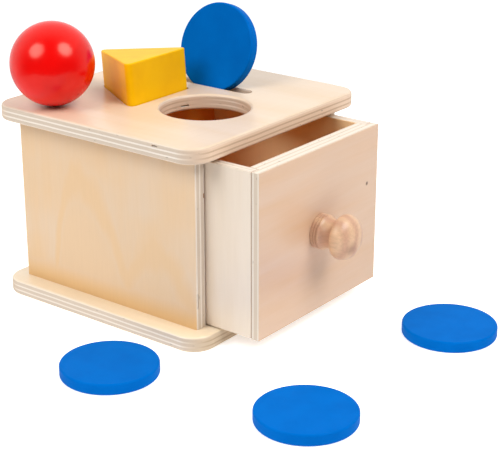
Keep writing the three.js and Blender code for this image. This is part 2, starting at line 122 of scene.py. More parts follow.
# Matt white paper, lit from below as on a light table: it shows as clean white, throws a soft light up on
# the pieces, and is dimmer in what their lacquer mirrors.
paper_white = "F4F4F4"
mirrored_grey = "C4C4C4"
glow_seen = 0.5
glow_thrown = 0.34
glow_mirrored = 0.1
paper, paper_tree, paper_shader = new_material("white paper")
paper_shader.inputs["Roughness"].default_value = 0.9
paper_shader.inputs["Specular IOR Level"].default_value = 0
paper_shader.inputs["Emission Color"].default_value = linear("FFFFFF")
mirrored = add_node(paper_tree, "LightPath", [], out="Is Glossy Ray")
paper_colour = add_node(
    paper_tree, "Mix", {0: mirrored, 6: linear(paper_white), 7: linear(mirrored_grey)}, out=2,
    data_type="RGBA")
paper_tree.links.new(paper_colour, paper_shader.inputs["Base Color"])
unseen_glow = add_node(paper_tree, "Mix", {0: mirrored, 2: glow_thrown, 3: glow_mirrored})
paper_seen = add_node(paper_tree, "LightPath", [], out="Is Camera Ray")
paper_glow = add_node(paper_tree, "Mix", {0: paper_seen, 2: unseen_glow, 3: glow_seen})
paper_tree.links.new(paper_glow, paper_shader.inputs["Emission Strength"])
floor.data.materials.append(paper)

backdrop_towards = (0.79, 0.61, 0)
backdrop_fade = (-0.5, 0.45)
backdrop_light = 0.9
room_light = 0.08
seen_light = 1.1
world = bpy.data.worlds.new("studio")
world.use_nodes = True
bpy.context.scene.world = world
world_tree = world.node_tree
world_tree.nodes.clear()
direction = add_node(world_tree, "TexCoord", [], out="Generated")
facing = add_node(
    world_tree, "VectorMath", [direction, backdrop_towards], out="Value", operation="DOT_PRODUCT")
room_glow = add_node(
    world_tree, "MapRange", [facing, *backdrop_fade, room_light, backdrop_light],
    interpolation_type="SMOOTHSTEP")
backdrop_seen = add_node(world_tree, "LightPath", [], out="Is Camera Ray")
strength = add_node(world_tree, "Mix", {0: backdrop_seen, 2: room_glow, 3: seen_light})
sky = add_node(world_tree, "Background", {"Color": linear("FFFFFF"), "Strength": strength})
add_node(world_tree, "OutputWorld", {"Surface": sky})

# Base and top plates: birch plywood sawn square, with the corners rounded on a spindle and the edges
# rounded over, so the thin cross-laid plies show as light and dark lines all the way round.
plate_corner = 12.5 * MM
plate_round = 1.6 * MM
# The base plate's face and figure are painted paler than the top plate's: painted light that makes up for
# the shade of the top plate's overhang on the strip of the base that shows.
painted_light_base_face = "F8E6CB"
painted_light_base_figure = "F2DAB2"
# A darker tint on the base plate's front and back edges: painted shade from the drawer over its front
# edge.
base_ends_painted_shade = "E6D8C2"
# A hair tells two places apart, and a cutter overshoots what it cuts.
hair = 0.01 * MM
overshoot = 2 * MM
screw_clear = 0.1 * MM
head_lip = 0.15 * MM
base_shank = 1.75 * MM
smooth_angle = math.radians(40)
corners = ["left_front", "left_rear", "right_front", "right_rear", "back_left", "back_right"]


def name_new(name):
    """Names the object just made, and its mesh."""
    piece = bpy.context.object
    piece.name = name
    piece.data.name = name
    return piece


def select_only(piece):
    """Selects this piece and no other, and makes it the active one."""
    bpy.ops.object.select_all(action="DESELECT")
    piece.select_set(True)
    bpy.context.view_layer.objects.active = piece


def start_block(name, low, high):
    """Adds a cube stretched to the box from low to high, with its place in its mesh."""
    bpy.ops.object.select_all(action="DESELECT")
    bpy.ops.mesh.primitive_cube_add(size=1, location=(low + high) / 2, scale=high - low)
    bpy.ops.object.transform_apply()
    return name_new(name)


def round_edges(piece, wanted, radius, segments):
    """Rounds each edge for whose two ends wanted(a, b) holds."""
    bpy.context.view_layer.objects.active = piece
    bpy.ops.object.mode_set(mode="EDIT")
    bpy.ops.mesh.select_mode(type="EDGE")
    bpy.ops.mesh.select_all(action="DESELECT")
    mesh = bmesh.from_edit_mesh(piece.data)
    for edge in mesh.edges:
        edge.select_set(wanted(edge.verts[0].co, edge.verts[1].co))
    bmesh.update_edit_mesh(piece.data)
    bpy.ops.mesh.bevel(offset=radius, segments=segments, affect="EDGES")
    bpy.ops.object.mode_set(mode="OBJECT")


def upright(a, b):
    """Whether an edge runs up."""
    return abs(a.z - b.z) > hair


def level(a, b):
    """Whether an edge lies level."""
    return abs(a.z - b.z) < hair


def any_edge(a, b):
    """Holds for every edge."""
    return True


def cut_away(piece, cutter):
    """Takes the cutter's shape out of the piece and removes the cutter."""
    modifier = piece.modifiers.new("cut", "BOOLEAN")
    modifier.operation = "DIFFERENCE"
    modifier.solver = "EXACT"
    modifier.object = cutter
    bpy.context.view_layer.objects.active = piece
    bpy.ops.object.modifier_apply(modifier=modifier.name)
    bpy.data.objects.remove(cutter)


def turned_piece(name, stations, sides):
    """Turns a piece about Z: a filled circle is pulled up through stations of radius and height."""
    radius, height = stations[0]
    bpy.ops.object.select_all(action="DESELECT")
    bpy.ops.mesh.primitive_circle_add(
        vertices=sides, radius=radius, fill_type="NGON", location=(0, 0, height))
    bpy.ops.object.transform_apply()
    piece = name_new(name)
    bpy.ops.object.mode_set(mode="EDIT")
    bpy.ops.mesh.select_mode(type="FACE")
    bpy.ops.mesh.select_all(action="SELECT")
    for next_radius, next_height in stations[1:]:
        bpy.ops.mesh.extrude_region_move(
            TRANSFORM_OT_translate={"value": (0, 0, next_height - height)})
        grow = next_radius / radius
        bpy.ops.transform.resize(value=(grow, grow, 1), center_override=(0, 0, next_height))
        radius, height = next_radius, next_height
    bpy.ops.mesh.select_all(action="SELECT")
    bpy.ops.mesh.normals_make_consistent(inside=False)
    bpy.ops.object.mode_set(mode="OBJECT")
    return piece


def put(piece, place, turn=(0, 0, 0)):
    """Turns a piece modelled at the origin and moves it to its place in the frame."""
    select_only(piece)
    piece.rotation_euler = turn
    piece.location = place
    bpy.ops.object.transform_apply()
    return piece


def countersink(piece, node, shank):
    """Cuts the hole of a countersunk screw, head down, round the place of its node."""
    low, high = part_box(node)
    rim = (high.x - low.x) / 2 + screw_clear
    stations = [
        (rim, low.z - overshoot), (rim, low.z + head_lip),
        (shank + screw_clear, low.z + head_lip + rim - shank), (shank + screw_clear, high.z + overshoot),
    ]
    cutter = turned_piece("countersink_cutter", stations, 32)
    cut_away(piece, put(cutter, ((low.x + high.x) / 2, (low.y + high.y) / 2, 0)))


def dress(piece, material, body, node, flat_faces=True):
    """Smooths a piece, gives it its material and puts it in the place of its CAD node."""
    select_only(piece)
    bpy.ops.object.shade_smooth_by_angle(angle=smooth_angle)
    if flat_faces:
        flatten = piece.modifiers.new("flat faces", "WEIGHTED_NORMAL")
        flatten.keep_sharp = True
        bpy.ops.object.modifier_apply(modifier=flatten.name)
    piece.data.materials.clear()
    piece.data.materials.append(material)
    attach(piece, body)
    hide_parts(node)


X, Y, Z = 0, 1, 2
cross_ratio = 2.0
ply_jump_mm = 41
flame_blend_mm = 12
flame_wander_mm = 22
flame_band_mm = 23
foot_mm = 20
knot_core_mm = 0.5
knot_rim_mm = 1.4
knot_brown = "553522"
gap_shade_brown = "7A6350"
face_gloss = 0.27
edge_gloss = 0.5
lacquer_shine = 0.8
plate_edges = ("F0E5D8", "D6C4B0")


def plywood(
        name, box, thickness, grain, plies, face, figure, edges, flames=(), lining=None, knot=None,
        glued=None, end_tint=None, shine=lacquer_shine):
    """Lacquered birch plywood: outer plies with a soft figure, and thicker plies laid crosswise between.
    thickness and grain are axes, and the pattern starts at the board's low corner, in mm. flames
    are tips in the figure: a place along and across, and how wide and how steep the two legs run. lining
    is the high (1) or low (0) face and its colour. knot is a place along and across. glued is the colour
    of the edges beside the grain where glue has soaked in, and end_tint a tint multiplied onto the ends
    across the grain, darker on the base plate as painted shade from the drawer. shine is the lacquer's."""
    low, high = box
    cross = 3 - thickness - grain
    depth_mm = (high - low)[thickness] / MM
    pairs = plies // 2
    long_ply = depth_mm / (pairs + 1 + pairs * cross_ratio)
    pair_mm = long_ply * (1 + cross_ratio)
    material, tree, shader = new_material(name)
    point = add_node(tree, "TexCoord", [], out="Object")
    place = add_node(tree, "Mapping", {"Vector": point, "Location": -low / MM, "Scale": (1 / MM,) * 3})
    along = add_node(tree, "SeparateXYZ", [place], out=grain)
    across = add_node(tree, "SeparateXYZ", [place], out=cross)
    depth = add_node(tree, "SeparateXYZ", [place], out=thickness)

    # Which ply a point lies in: plies come in pairs of a long one and a thicker crosswise one.
    from_middle = add_node(tree, "Math", [depth, depth_mm / 2], operation="SUBTRACT")
    off_middle = add_node(tree, "Math", [from_middle], operation="ABSOLUTE")
    outer = add_node(tree, "Math", [off_middle, depth_mm / 2 - long_ply], operation="GREATER_THAN")
    # The inner glue lines waver by up to 0.3 mm over about 30 mm.
    waver = add_node(tree, "TexNoise", {"Vector": place, "Scale": 1 / 30, "Detail": 2})
    inner_waver = add_node(tree, "MapRange", [off_middle, 0, depth_mm / 2 - long_ply, 1.2, 0])
    from_even = add_node(tree, "Math", [waver, 0.5], operation="SUBTRACT")
    ply_depth = add_node(tree, "Math", [from_even, inner_waver, depth], operation="MULTIPLY_ADD")
    pair = add_node(tree, "Math", [ply_depth, 1 / pair_mm, hair / MM / pair_mm], operation="MULTIPLY_ADD")
    in_pair = add_node(tree, "Math", [pair], operation="FRACT")
    crosswise = add_node(tree, "Math", [in_pair, long_ply / pair_mm], operation="GREATER_THAN")
    pair_number = add_node(tree, "Math", [pair], operation="FLOOR")
    layer = add_node(tree, "Math", [crosswise, 0.5, pair_number], operation="MULTIPLY_ADD")

    # Fibres along each ply's own grain: 26 mm long and 1.4 mm apart, drawn coarse enough to show.
    deeper = add_node(tree, "Math", [layer, ply_jump_mm, depth], operation="MULTIPLY_ADD")
    straight = add_node(tree, "CombineXYZ", [along, across, deeper])
    turned = add_node(tree, "CombineXYZ", [across, along, deeper])
    own_way = add_node(tree, "Mix", {0: crosswise, 4: straight, 5: turned}, out=1, data_type="VECTOR")
    fibre_place = add_node(tree, "Mapping", {"Vector": own_way, "Scale": (1 / 26, 1 / 1.4, 1 / 1.4)})
    fibre = add_node(tree, "TexNoise", {"Vector": fibre_place, "Scale": 1, "Detail": 4, "Roughness": 0.65})

    # Figure of the rotary-cut face: soft streaks about 18 mm wide that follow the grain for 150 mm.
    streak_place = add_node(tree, "Mapping", {"Vector": straight, "Scale": (1 / 150, 1 / 18, 1 / 40)})
    streak = add_node(tree, "TexNoise", {"Vector": streak_place, "Scale": 1, "Detail": 3})
    share = add_node(tree, "MapRange", [streak, 0.4, 0.68, 0, 0.75])
    if flames:
        # Warm bands that close round the flames' tips and fade out over 23 mm, warmer wood inside them,
        # and the bottom 20 mm warmer and darker.
        contours = []
        for tip_along, tip_across, wide, steep in flames:
            height = add_node(tree, "Math", [along, tip_along], operation="SUBTRACT")
            offset = add_node(tree, "Math", [across, tip_across], operation="SUBTRACT")
            square = add_node(tree, "Math", [offset, offset], operation="MULTIPLY")
            beyond = add_node(tree, "Math", [offset, 0], operation="GREATER_THAN")
            bend = add_node(tree, "MapRange", [beyond, 0, 1, 1 / wide, 1 / steep])
            contours.append(add_node(tree, "Math", [square, bend, height], operation="MULTIPLY_ADD"))
        contour = add_node(tree, "Math", [*contours, flame_blend_mm], operation="SMOOTH_MIN")
        wander_place = add_node(tree, "Mapping", {"Vector": straight, "Scale": (1 / 22, 1 / 12, 1 / 40)})
        wander = add_node(tree, "TexNoise", {"Vector": wander_place, "Scale": 1, "Detail": 2})
        wavy = add_node(tree, "Math", [wander, flame_wander_mm, contour], operation="MULTIPLY_ADD")
        from_band = add_node(tree, "Math", [wavy], operation="ABSOLUTE")
        band = add_node(
            tree, "MapRange", [from_band, 2, flame_band_mm, 0.55, 0], interpolation_type="SMOOTHSTEP")
        foot = add_node(tree, "MapRange", [along, 0, foot_mm, 1, 0], interpolation_type="SMOOTHSTEP")
        # Cloudy patches about 42 mm across lie over the streaks.
        cloud = add_node(tree, "TexNoise", {"Vector": straight, "Scale": 1 / 42, "Detail": 2})
        patch = add_node(tree, "MapRange", [cloud, 0.4, 0.68, 0.02, 0.4])
        calm = add_node(tree, "Math", [share, 0.4, patch], operation="MULTIPLY_ADD")
        within = add_node(tree, "MapRange", [wavy, 12, -24, 0, 0.36], interpolation_type="SMOOTHSTEP")
        warm = add_node(tree, "Math", [band, within], operation="MAXIMUM")
        banded = add_node(tree, "Math", [calm, warm], operation="MAXIMUM")
        share = add_node(tree, "Math", [banded, foot], operation="MAXIMUM")
    veneer = add_node(
        tree, "Mix", {0: share, 6: linear(face), 7: linear(figure)}, out=2, data_type="RGBA")
    if lining:
        lining_side, lining_colour = lining
        test = "GREATER_THAN" if lining_side else "LESS_THAN"
        lined = add_node(tree, "Math", [from_middle, 0], operation=test)
        veneer = add_node(
            tree, "Mix", {0: lined, 6: veneer, 7: linear(lining_colour)}, out=2, data_type="RGBA")

    # End grain drinks more lacquer, so a ply is darker where the surface is cut across its fibres.
    normal = add_node(tree, "TexCoord", [], out="Normal")
    along_ends = add_node(tree, "SeparateXYZ", [normal], out=grain)
    cross_ends = add_node(tree, "SeparateXYZ", [normal], out=cross)
    ends = add_node(tree, "Mix", {0: crosswise, 2: along_ends, 3: cross_ends})
    end_grain = add_node(tree, "Math", [ends], operation="ABSOLUTE")
    pale, dark = (linear(colour) for colour in edges)
    core = add_node(tree, "Mix", {0: end_grain, 6: pale, 7: dark}, out=2, data_type="RGBA")
    if glued:
        soaked = add_node(tree, "Math", [cross_ends], operation="ABSOLUTE")
        core = add_node(tree, "Mix", {0: soaked, 6: core, 7: linear(glued)}, out=2, data_type="RGBA")
    # The ends across the grain are multiplied by a tint. On the base plate it is darker: painted shade
    # from the drawer over its front edge.
    if end_tint:
        end_facing = add_node(tree, "Math", [along_ends], operation="ABSOLUTE")
        core = add_node(
            tree, "Mix", {0: end_facing, 6: core, 7: linear(end_tint)}, out=2, data_type="RGBA",
            blend_type="MULTIPLY")
    edge_facing = add_node(tree, "SeparateXYZ", [normal], out=thickness)
    flatness = add_node(tree, "Math", [edge_facing], operation="ABSOLUTE")
    on_face = add_node(tree, "MapRange", [flatness, 0.3, 0.9, 0, 1])
    skin = add_node(tree, "Mix", {0: on_face, 6: core, 7: veneer}, out=2, data_type="RGBA")
    wood = add_node(tree, "Mix", {0: outer, 6: core, 7: skin}, out=2, data_type="RGBA")

    # Small gaps in the core veneers, about 4 mm long, are painted as dark dashes on the edges: painted
    # shade that stands in for the holes.
    gap_place = add_node(tree, "Mapping", {"Vector": straight, "Scale": (1 / 4, 1 / 4, 1 / 0.9)})
    gaps = add_node(tree, "TexNoise", {"Vector": gap_place, "Scale": 1, "Detail": 1})
    gap = add_node(tree, "MapRange", [gaps, 0.72, 0.76, 0, 0.55])
    inner = add_node(tree, "Math", [1, outer], operation="SUBTRACT")
    gap_share = add_node(tree, "Math", [gap, inner], operation="MULTIPLY")
    gappy = add_node(tree, "Mix", {0: gap_share, 6: wood, 7: linear(gap_shade_brown)}, out=2, data_type="RGBA")
    tone = add_node(tree, "MapRange", [fibre, 0.25, 0.75, 0.98, 1.016])
    colour = add_node(
        tree, "Mix", {0: 1.0, 6: gappy, 7: tone}, out=2, data_type="RGBA", blend_type="MULTIPLY")
    if knot:
        knot_place = Vector((0, 0, 0))
        knot_place[grain], knot_place[cross] = knot
        flat = Vector((1, 1, 1))
        flat[thickness] = 0
        flat_place = add_node(tree, "VectorMath", [place, flat], operation="MULTIPLY")
        away = add_node(tree, "VectorMath", [flat_place, knot_place], out="Value", operation="DISTANCE")
        spot = add_node(tree, "MapRange", [away, knot_core_mm, knot_rim_mm, 0.85, 0])
        colour = add_node(
            tree, "Mix", {0: spot, 6: colour, 7: linear(knot_brown)}, out=2, data_type="RGBA")
    tree.links.new(colour, shader.inputs["Base Color"])
    # Satin lacquer: the broad face is smooth enough for a soft reflection, the sawn edges are duller.
    rough = add_node(tree, "MapRange", [on_face, 0, 1, edge_gloss, face_gloss])
    tree.links.new(rough, shader.inputs["Roughness"])
    shader.inputs["Specular IOR Level"].default_value = shine
    raised = add_node(tree, "Bump", {"Height": fibre, "Strength": 0.1, "Distance": 0.06 * MM})
    tree.links.new(raised, shader.inputs["Normal"])
    return material


base_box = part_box("base_panel")
base_plate = start_block("base_plate", *base_box)
round_edges(base_plate, upright, plate_corner, 16)
round_edges(base_plate, level, plate_round, 5)
for corner in corners:
    countersink(base_plate, "base_screw_" + corner, base_shank)
base_ply = plywood(
    "birch plywood base", base_box, Z, Y, 7, painted_light_base_face, painted_light_base_figure, plate_edges, end_tint=base_ends_painted_shade)
dress(base_plate, base_ply, "case", "base_panel")

# The top plate has three openings: a round hole routed with the same round-over as the edge, a slot and
# a triangular hole cut square. Its lacquer is rubbed down, so it mirrors the ball only faintly.
openings = {item["name"]: item["box_m"] for item in frame["record"]["physics"]["openings"]}
ball_hole_radius = 24.2 * MM
slot_width = 7.7 * MM
slot_length = 55 * MM
prism_flat = 14.65 * MM
prism_corner = 2.9 * MM
prism_play = 0.6 * MM
prism_web = 5.8 * MM
top_face = "E4CDB4"
top_figure = "E0C4A3"
top_ends = "FAE6D5"
top_shine = 0.45


def opening_middle(name):
    """The middle of an opening that the record lists."""
    low, high = (Vector(corner) for corner in openings[name])
    return (low + high) / 2


def arc(radius, height, bend, first, last, steps):
    """Stations along an arc of radius bend round a point at that radius and height, in degrees."""
    turns = [math.radians(first + (last - first) * i / steps) for i in range(steps + 1)]
    return [(radius + bend * math.cos(t), height + bend * math.sin(t)) for t in turns]


def triangle_block(name, flat, corner, low, high):
    """A three-sided block with one flat to the front, its faces that far from the middle and its
    uprights rounded: at a corner of 60 degrees the round starts at the corner's radius times root 3."""
    bpy.ops.object.select_all(action="DESELECT")
    bpy.ops.mesh.primitive_cylinder_add(
        vertices=3, radius=2 * flat, depth=high - low, location=(0, 0, (low + high) / 2))
    bpy.ops.object.transform_apply()
    piece = name_new(name)
    round_edges(piece, upright, math.sqrt(3) * corner, 12)
    return piece


def open_gap(piece, middle, size, turn=0):
    """Cuts a small gap where a core veneer of the plywood stops short, its place and size in mm."""
    half = Vector(size) * MM / 2
    cut_away(piece, put(start_block("gap_cutter", -half, half), Vector(middle) * MM, (0, 0, turn)))


top_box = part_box("top_panel")
top_low, top_high = top_box[0].z, top_box[1].z
top_plate = start_block("top_plate", *top_box)
round_edges(top_plate, upright, plate_corner, 16)
round_edges(top_plate, level, plate_round, 5)

ball_hole = opening_middle("ball_hole")
flare = ball_hole_radius + plate_round
hole_stations = [(flare, top_low - overshoot)]
hole_stations += arc(flare, top_low + plate_round, plate_round, 270, 180, 6)
hole_stations += arc(flare, top_high - plate_round, plate_round, 180, 90, 6)
hole_stations += [(flare, top_high + overshoot)]
hole_cutter = turned_piece("ball_hole_cutter", hole_stations, 128)
cut_away(top_plate, put(hole_cutter, (ball_hole.x, ball_hole.y, 0)))

slot_x = opening_middle("coin_slot_front_end").x
slot_cutter = start_block(
    "slot_cutter",
    Vector((slot_x - slot_width / 2, -slot_length / 2, top_low - overshoot)),
    Vector((slot_x + slot_width / 2, slot_length / 2, top_high + overshoot)),
)
# The slot's ends are round: the radius stays a hair under half the width, so the two rounds don't meet.
slot_round = 0.499 * slot_width
round_edges(slot_cutter, upright, slot_round, 12)
cut_away(top_plate, slot_cutter)

hole_flat = prism_flat + prism_play
prism_y = ball_hole.y + ball_hole_radius + prism_web + hole_flat
triangle_cutter = triangle_block(
    "prism_hole_cutter", hole_flat, prism_corner + prism_play, top_low - overshoot, top_high + overshoot)
cut_away(top_plate, put(triangle_cutter, (ball_hole.x, prism_y, 0)))
# One gap follows the round hole's wall, which heads this way there in x and y, and one is in the left
# edge.
wall_run = (22.2, -9.6)
wall_turn = math.atan2(wall_run[1], wall_run[0])
open_gap(top_plate, (1.9, -2.2, 103.8), (5, 3, 1.1), wall_turn)
open_gap(top_plate, (-71.6, -45, 107.5), (2.4, 3.6, 0.8))
top_ply = plywood(
    "birch plywood top", top_box, Z, Y, 7, top_face, top_figure, plate_edges, end_tint=top_ends,
    shine=top_shine)
dress(top_plate, top_ply, "case", "top_panel")

# Case sides and back: plywood panels with upright grain, glued and fixed between the plates. The free
# upright edges are eased by hand. The outer veneers have two flames in their figure. The inner faces are
# painted a darker gold: painted shade, so the narrow gap between case and drawer looks brown.
side_ease = 0.8 * MM
back_ease = 0.4 * MM
panel_face = "E3C7A7"
panel_figure = "E8BC82"
case_inside_shade = "C48C54"
left_flames = [(76, 84, 26, 5), (47, 30, 26, 12)]
right_flames = [(64, 70, 24, 9), (40, 24, 12, 30)]
back_flames = [(70, 30, 14, 22), (50, 74, 26, 10)]


def copy_of(piece, name, shift=(0, 0, 0)):
    """Copies a piece with a mesh of its own, moved by shift."""
    select_only(piece)
    bpy.ops.object.duplicate()
    return put(name_new(name), shift)


left_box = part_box("left_side_panel")
right_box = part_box("right_side_panel")
left_panel = start_block("left_side", *left_box)
round_edges(left_panel, upright, side_ease, 3)
right_panel = copy_of(left_panel, "right_side", right_box[0] - left_box[0])
# Two gaps show in the left panel's front edge.
open_gap(left_panel, (-54.4, -61.6, 80.3), (0.8, 2, 2.6))
open_gap(left_panel, (-59.9, -61.6, 24.4), (0.7, 2, 8))
left_ply = plywood(
    "birch plywood left side", left_box, X, Z, 5, panel_face, panel_figure, plate_edges, left_flames,
    lining=(1, case_inside_shade))
right_ply = plywood(
    "birch plywood right side", right_box, X, Z, 5, panel_face, panel_figure, plate_edges, right_flames,
    lining=(0, case_inside_shade))
dress(left_panel, left_ply, "case", "left_side_panel")
dress(right_panel, right_ply, "case", "right_side_panel")

back_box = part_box("back_panel")
back = start_block("back", *back_box)
round_edges(back, upright, back_ease, 2)
back_ply = plywood(
    "birch plywood back", back_box, Y, Z, 5, panel_face, panel_figure, plate_edges, back_flames,
    lining=(0, case_inside_shade))
dress(back, back_ply, "case", "back_panel")

# Top dowels: short pins of beech rod with chamfered ends, glued into holes in the plate and the panels,
# so they are out of sight once the box is together.
dark_patch_brown = "946A50"


def beech(name, grain, ring, ring_mm, light, deep, gloss, dark_patch=None):
    """Beech: an even brown with fine darker flecks along its grain and soft growth rings across it.
    grain and ring are axes, ring_mm is the rings' spacing, and the last argument the middle of a darker
    patch, in mm."""
    material, tree, shader = new_material(name)
    point = add_node(tree, "TexCoord", [], out="Object")
    place = add_node(tree, "Mapping", {"Vector": point, "Scale": (1 / MM,) * 3})
    # Flecks 9 mm long and 1.2 mm wide, and a sway of the rings over about 16 mm.
    stretch = [1 / 1.2] * 3
    stretch[grain] = 1 / 9
    fleck_place = add_node(tree, "Mapping", {"Vector": place, "Scale": stretch})
    fleck = add_node(tree, "TexNoise", {"Vector": fleck_place, "Scale": 1, "Detail": 3, "Roughness": 0.6})
    sway = add_node(tree, "TexNoise", {"Vector": place, "Scale": 1 / 16, "Detail": 1})
    plain = add_node(tree, "SeparateXYZ", [place], out=ring)
    across = add_node(tree, "Math", [sway, 0.8 * ring_mm, plain], operation="MULTIPLY_ADD")
    phase = add_node(tree, "Math", [across, 2 * math.pi / ring_mm], operation="MULTIPLY")
    wave = add_node(tree, "Math", [phase], operation="SINE")
    share = add_node(tree, "MapRange", [wave, -1, 1, 0, 1])
    rings = add_node(tree, "Mix", {0: share, 6: linear(light), 7: linear(deep)}, out=2, data_type="RGBA")
    tone = add_node(tree, "MapRange", [fleck, 0.3, 0.7, 0.9, 1.06])
    colour = add_node(
        tree, "Mix", {0: 1.0, 6: rings, 7: tone}, out=2, data_type="RGBA", blend_type="MULTIPLY")
    if dark_patch:
        # The patch is about 6 mm across and fades out.
        away = add_node(tree, "VectorMath", [place, dark_patch], out="Value", operation="DISTANCE")
        patch = add_node(tree, "MapRange", [away, 0.5, 5, 0.5, 0], interpolation_type="SMOOTHSTEP")
        colour = add_node(
            tree, "Mix", {0: patch, 6: colour, 7: linear(dark_patch_brown)}, out=2, data_type="RGBA")
    tree.links.new(colour, shader.inputs["Base Color"])
    fine = add_node(tree, "Bump", {"Height": fleck, "Strength": 0.08, "Distance": 0.05 * MM})
    tree.links.new(fine, shader.inputs["Normal"])
    shader.inputs["Roughness"].default_value = gloss
    return material


dowel_beech = beech("beech dowel", Z, X, ring_mm=2.5, light="DDB48C", deep="C99668", gloss=0.6)
for corner in corners:
    frame["nodes"]["top_dowel_" + corner].material_slots[0].material = dowel_beech

# Screws: zinc-plated countersunk wood screws, sunk a hair into the base plate's underside, with a
# cross recess in the head. The two smaller ones hold the drawer's bottom to its back.
screw_point = 3 * MM
point_share = 0.2
bottom_shank = 1.25 * MM
cross_reach = 1.1
cross_depth = 0.35
countersunk_cross = 0.25
zinc, zinc_tree, zinc_shader = new_material("zinc-plated steel")
zinc_shader.inputs["Metallic"].default_value = 1
zinc_place = add_node(zinc_tree, "TexCoord", [], out="Object")
# Spangle of the plating, about 0.8 mm across, which changes its brightness and its dullness.
spangle = add_node(zinc_tree, "TexNoise", {"Vector": zinc_place, "Scale": 1 / (0.8 * MM), "Detail": 2})
bright = add_node(
    zinc_tree, "Mix", {0: spangle, 6: linear("A9AEB4"), 7: linear("D3D6D8")}, out=2, data_type="RGBA")
zinc_tree.links.new(bright, zinc_shader.inputs["Base Color"])
dull = add_node(zinc_tree, "MapRange", [spangle, 0, 1, 0.22, 0.42])
zinc_tree.links.new(dull, zinc_shader.inputs["Roughness"])


def recess(screw, radius, width_share):
    """Cuts a cross recess into a head of that radius whose outer face lies at height 0."""
    reach, width, depth = cross_reach * radius, width_share * radius, cross_depth * radius
    for size_x, size_y in ((reach, width), (width, reach)):
        low = Vector((-size_x / 2, -size_y / 2, -depth))
        high = Vector((size_x / 2, size_y / 2, depth))
        cut_away(screw, start_block("recess_cutter", low, high))


def set_screws(nodes, body, shank):
    """Models one countersunk screw, head down, and sets it and its copies in the places of the nodes."""
    low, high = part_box(nodes[0])
    rim = (high.x - low.x) / 2
    length = high.z - low.z
    stations = [
        (rim - head_lip, 0), (rim, head_lip), (shank, head_lip + rim - shank),
        (shank, length - screw_point), (point_share * shank, length),
    ]
    first = turned_piece("zinc_" + nodes[0], stations, 32)
    recess(first, rim, countersunk_cross)
    screws = [first] + [copy_of(first, "zinc_" + node) for node in nodes[1:]]
    for screw, node in zip(screws, nodes):
        low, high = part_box(node)
        put(screw, ((low.x + high.x) / 2, (low.y + high.y) / 2, low.z))
        dress(screw, zinc, body, node)


set_screws(["base_screw_" + corner for corner in corners], "case", base_shank)
set_screws(["drawer_bottom_screw_left", "drawer_bottom_screw_right"], "drawer", bottom_shank)

# Drawer: a thick front whose ends are rabbeted to take the sides behind a lip, thin sides with a groove
# for the bottom and a dado for the back. Outside they are pale and inside a warmer gold. The insides of
# the back and the bottom, deep in the drawer's shade, are painted dark orange: painted shade. Glue has
# browned the upright ends of the sides, which show in the seam.
side_seam = 0.35 * MM
seam_ease = 0.3 * MM
board_ease = 0.4 * MM
board_edges = ("E4D6C6", "D2C2B0")
front_edges = ("D6C4AE", "E6DACA")
front_face = "DBBA9F"
front_figure = "D9AE88"
side_face = "EDDDCA"
side_figure = "E7D2B8"
glue_brown = "B4743E"
hidden_face = "E3C4A2"
hidden_figure = "DAB48A"
inside_colour = "FFDCA8"
# Painted shade: dark orange on the faces deep inside the drawer.
deep_painted_shade = "EE9030"
bottom_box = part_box("drawer_bottom")
drawer_back_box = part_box("drawer_back")
front_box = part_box("drawer_front")
front_low, front_high = front_box
drawer_top = front_high.z
right_side_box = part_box("drawer_right_side")
inner_half = right_side_box[0].x
lip_back = right_side_box[0].y

front = start_block("drawer_front_board", front_low, front_high)
round_edges(front, any_edge, board_ease, 3)
for sign in (-1, 1):
    ends = sorted((sign * inner_half, sign * (front_high.x + overshoot)))
    low = Vector((ends[0], lip_back, front_low.z - overshoot))
    high = Vector((ends[1], front_high.y + overshoot, front_high.z + overshoot))
    cut_away(front, start_block("rabbet_cutter", low, high))
groove_low = Vector((-inner_half - overshoot, bottom_box[0].y, bottom_box[0].z))
groove_high = Vector((inner_half + overshoot, front_high.y + overshoot, bottom_box[1].z))
cut_away(front, start_block("groove_cutter", groove_low, groove_high))
knot_x_mm = 43.2
knot_z_mm = 67.1
front_knot = (knot_x_mm - front_low.x / MM, knot_z_mm - front_low.z / MM)
front_ply = plywood(
    "birch plywood drawer front", front_box, Y, X, 7, front_face, front_figure, front_edges,
    lining=(1, inside_colour), knot=front_knot)
dress(front, front_ply, "drawer", "drawer_front")

left_low, left_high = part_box("drawer_left_side")
seam_y = left_low.y + side_seam
left_board = start_block("drawer_left_board", left_low + Vector((0, side_seam, 0)), left_high)


def front_corner(a, b):
    """The upright edge on the left board's outer face, next to the drawer's front."""
    return upright(a, b) and abs(a.y - seam_y) < hair and abs(a.x - left_low.x) < hair


def top_rim(a, b):
    """Whether an edge lies along the top of the left board."""
    return min(a.z, b.z) > left_high.z - hair


round_edges(left_board, front_corner, seam_ease, 1)
round_edges(left_board, top_rim, board_ease, 2)
reach = Vector((0, overshoot, 0))
cut_away(left_board, start_block("groove_cutter", bottom_box[0] - reach, bottom_box[1] + reach))
dado_high = drawer_back_box[1] + Vector((0, overshoot, overshoot))
cut_away(left_board, start_block("dado_cutter", drawer_back_box[0], dado_high))
right_board = copy_of(left_board, "drawer_right_board")
right_board.scale.x = -1
bpy.ops.object.transform_apply()
bpy.ops.object.mode_set(mode="EDIT")
bpy.ops.mesh.select_all(action="SELECT")
bpy.ops.mesh.normals_make_consistent(inside=False)
bpy.ops.object.mode_set(mode="OBJECT")
left_board_ply = plywood(
    "birch plywood drawer left", (left_low, left_high), X, Z, 5, side_face, side_figure, board_edges,
    lining=(1, inside_colour), glued=glue_brown)
right_board_ply = plywood(
    "birch plywood drawer right", right_side_box, X, Z, 5, side_face, side_figure, board_edges,
    lining=(0, inside_colour), glued=glue_brown)
dress(left_board, left_board_ply, "drawer", "drawer_left_side")
dress(right_board, right_board_ply, "drawer", "drawer_right_side")

